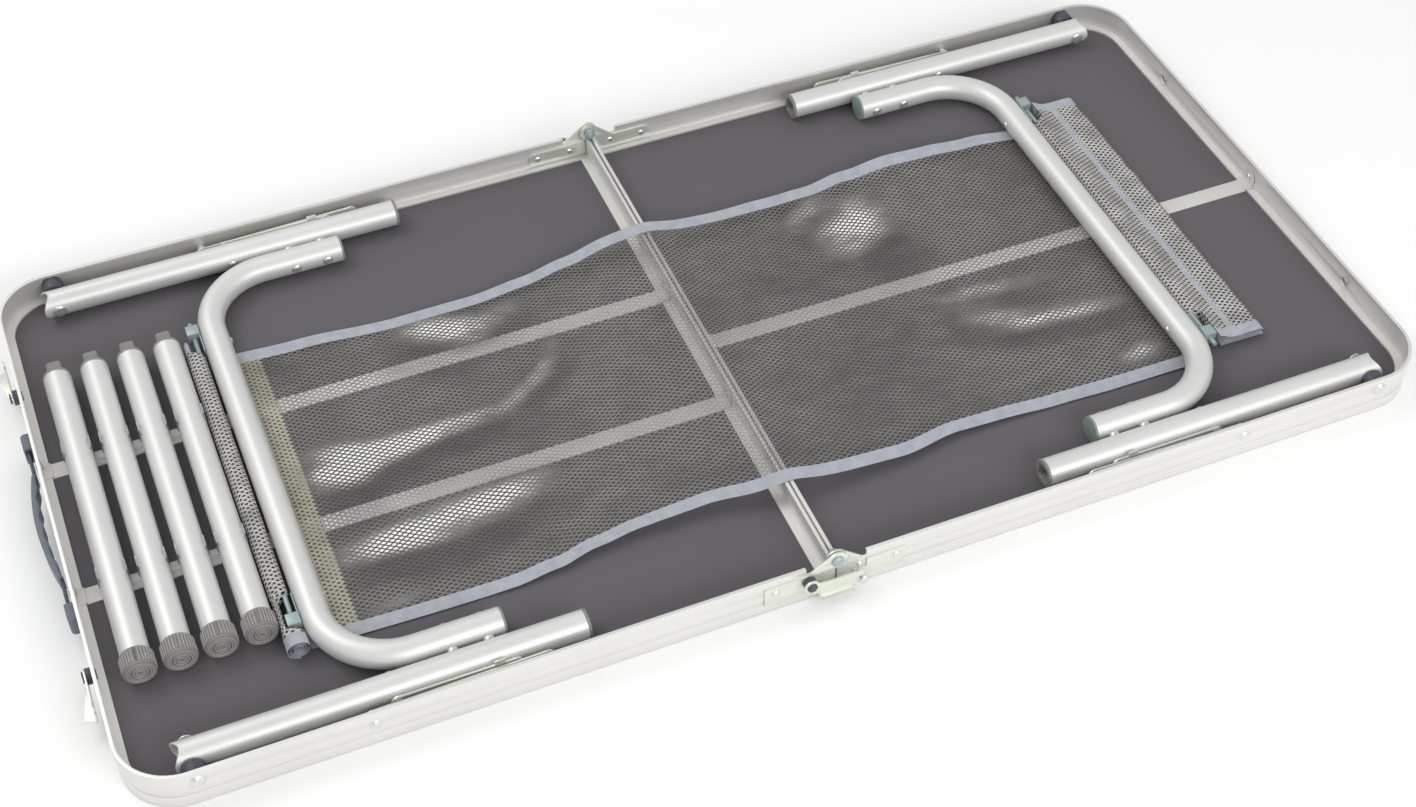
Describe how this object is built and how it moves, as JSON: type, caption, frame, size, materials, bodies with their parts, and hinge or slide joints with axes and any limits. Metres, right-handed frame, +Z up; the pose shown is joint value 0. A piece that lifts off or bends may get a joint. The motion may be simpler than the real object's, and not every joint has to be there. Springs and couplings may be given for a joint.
{
  "type": "folding picnic table",
  "caption": "Rectangular folding case table lying on its top, legs and stays folded into the rimmed underside, with net shelf, leg extensions, carry handle and catches.",
  "frame": {"origin": "centre of the tabletop face, which lies on the floor, on the line between the two halves", "axes": "+X along the length towards the half without the handle, +Y across the width, +Z up from the floor, out of the underside"},
  "size_m": [1.2241, 0.6252, 0.0505],
  "materials": {
    "rail": "satin extruded aluminium",
    "tube": "satin drawn tube",
    "zinc": "zinc plated, slightly yellow-green",
    "blue_zinc": "zinc plated, slightly blue",
    "rivet": "satin",
    "strap": "grainy mill finish",
    "clip": "spring steel",
    "lining": "dark purple-grey sheet",
    "core": "fibreboard",
    "skin": "pale laminate",
    "grey_plastic": "moulded warm grey",
    "green_plastic": "moulded grey-green",
    "dark_plastic": "moulded near black",
    "handle": "moulded slate grey",
    "net": "open mesh"
  },
  "bodies": {
    "half_left": {"rail_left": "rail", "centre_bar_left": "rail", "tabletop_skin_left": "skin", "tabletop_core_left": "core", "lining_left": "lining", "cross_strips": "strap", "tube_clips": "clip", "rivets_left": "rivet", "hinge_plates_left": "zinc", "hinge_bolts": "blue_zinc", "pivot_bushes": "dark_plastic", "leg_pivots_left": "rivet", "leg_spacers_left": "dark_plastic", "handle_caps": "handle", "handle_straps": "dark_plastic", "net_left": "net"},
    "half_right": {"rail_right": "rail", "centre_bar_right": "rail", "tabletop_skin_right": "skin", "tabletop_core_right": "core", "lining_right": "lining", "long_strip": "strap", "rivets_right": "rivet", "hinge_plates_right": "zinc", "catch_pins": "rivet", "leg_pivots_right": "rivet", "leg_spacers_right": "dark_plastic", "net_right": "net"},
    "leg_left": {"leg_tubes_left": "tube", "cross_bar_left": "tube", "bar_plugs_left": "green_plastic", "socket_inserts_left": "grey_plastic", "frame_rivets_left": "rivet", "net_rod_left": "blue_zinc", "net_roll": "net"},
    "leg_right": {"leg_tubes_right": "tube", "cross_bar_right": "tube", "bar_plugs_right": "green_plastic", "socket_inserts_right": "grey_plastic", "frame_rivets_right": "rivet", "net_rod_right": "blue_zinc", "net_fold": "net"},
    "upper_stays_left": {"rail_links_left": "zinc"},
    "lower_stays_left": {"leg_links_left": "zinc"},
    "upper_stays_right": {"rail_links_right": "zinc"},
    "lower_stays_right": {"leg_links_right": "zinc"},
    "handle": {"handle_grip": "handle"},
    "latch_far": {"latch_hook_far": "zinc"},
    "latch_near": {"latch_hook_near": "zinc"},
    "lock_far": {"lock_lever_far": "zinc"},
    "lock_near": {"lock_lever_near": "zinc"},
    "extension_1": {"extension_tube_1": "tube", "extension_ends_1": "grey_plastic"},
    "extension_2": {"extension_tube_2": "tube", "extension_ends_2": "grey_plastic"},
    "extension_3": {"extension_tube_3": "tube", "extension_ends_3": "grey_plastic"},
    "extension_4": {"extension_tube_4": "tube", "extension_ends_4": "grey_plastic"}
  },
  "joints": [
    {"name": "half_fold", "type": "hinge", "parent": "half_left", "child": "half_right", "pos_m": [0, 0, 0.041], "axis": [0, 1, 0], "range_deg": [-180, 0], "deforming": ["net_left", "net_right"]},
    {"name": "leg_left_fold", "type": "hinge", "parent": "half_left", "child": "leg_left", "pos_m": [-0.545, 0, 0.027], "axis": [0, -1, 0], "range_deg": [0, 90], "deforming": ["net_left"]},
    {"name": "upper_stays_left_turn", "type": "hinge", "parent": "half_left", "child": "upper_stays_left", "pos_m": [-0.402, 0, 0.024], "axis": [0, -1, 0], "range_deg": [0, 130]},
    {"name": "lower_stays_left_turn", "type": "hinge", "parent": "leg_left", "child": "lower_stays_left", "pos_m": [-0.379, 0, 0.027], "axis": [0, -1, 0], "range_deg": [-140, 0]},
    {"name": "leg_right_fold", "type": "hinge", "parent": "half_right", "child": "leg_right", "pos_m": [0.545, 0, 0.027], "axis": [0, 1, 0], "range_deg": [0, 90], "deforming": ["net_right"]},
    {"name": "upper_stays_right_turn", "type": "hinge", "parent": "half_right", "child": "upper_stays_right", "pos_m": [0.402, 0, 0.024], "axis": [0, 1, 0], "range_deg": [0, 130]},
    {"name": "lower_stays_right_turn", "type": "hinge", "parent": "leg_right", "child": "lower_stays_right", "pos_m": [0.379, 0, 0.027], "axis": [0, 1, 0], "range_deg": [-140, 0]},
    {"name": "lock_far_lift", "type": "hinge", "parent": "half_left", "child": "lock_far", "pos_m": [-0.026, 0.3084, 0.026], "axis": [0, 1, 0], "range_deg": [-45, 0]},
    {"name": "lock_near_lift", "type": "hinge", "parent": "half_left", "child": "lock_near", "pos_m": [-0.026, -0.3084, 0.026], "axis": [0, 1, 0], "range_deg": [-45, 0]},
    {"name": "latch_far_turn", "type": "hinge", "parent": "half_left", "child": "latch_far", "pos_m": [-0.606, 0.166, 0.024], "axis": [-1, 0, 0], "range_deg": [-90, 0]},
    {"name": "latch_near_turn", "type": "hinge", "parent": "half_left", "child": "latch_near", "pos_m": [-0.606, -0.166, 0.024], "axis": [1, 0, 0], "range_deg": [-90, 0]},
    {"name": "handle_pull", "type": "slide", "parent": "half_left", "child": "handle", "axis": [-1, 0, 0], "range_m": [0, 0.014], "deforming": ["handle_straps"]},
    {"name": "extension_1_lift", "type": "slide", "parent": "half_left", "child": "extension_1", "axis": [0, 0, 1], "range_m": [0, 0.06], "deforming": ["tube_clips"]},
    {"name": "extension_2_lift", "type": "slide", "parent": "half_left", "child": "extension_2", "axis": [0, 0, 1], "range_m": [0, 0.06], "deforming": ["tube_clips"]},
    {"name": "extension_3_lift", "type": "slide", "parent": "half_left", "child": "extension_3", "axis": [0, 0, 1], "range_m": [0, 0.06], "deforming": ["tube_clips"]},
    {"name": "extension_4_lift", "type": "slide", "parent": "half_left", "child": "extension_4", "axis": [0, 0, 1], "range_m": [0, 0.06], "deforming": ["tube_clips"]}
  ],
  "couplings": [
    {"joint": "upper_stays_left_turn", "follows": "leg_left_fold", "ratio": 1.4314},
    {"joint": "lower_stays_left_turn", "follows": "leg_left_fold", "ratio": -1.5529},
    {"joint": "upper_stays_right_turn", "follows": "leg_right_fold", "ratio": 1.4314},
    {"joint": "lower_stays_right_turn", "follows": "leg_right_fold", "ratio": -1.5529}
  ]
}
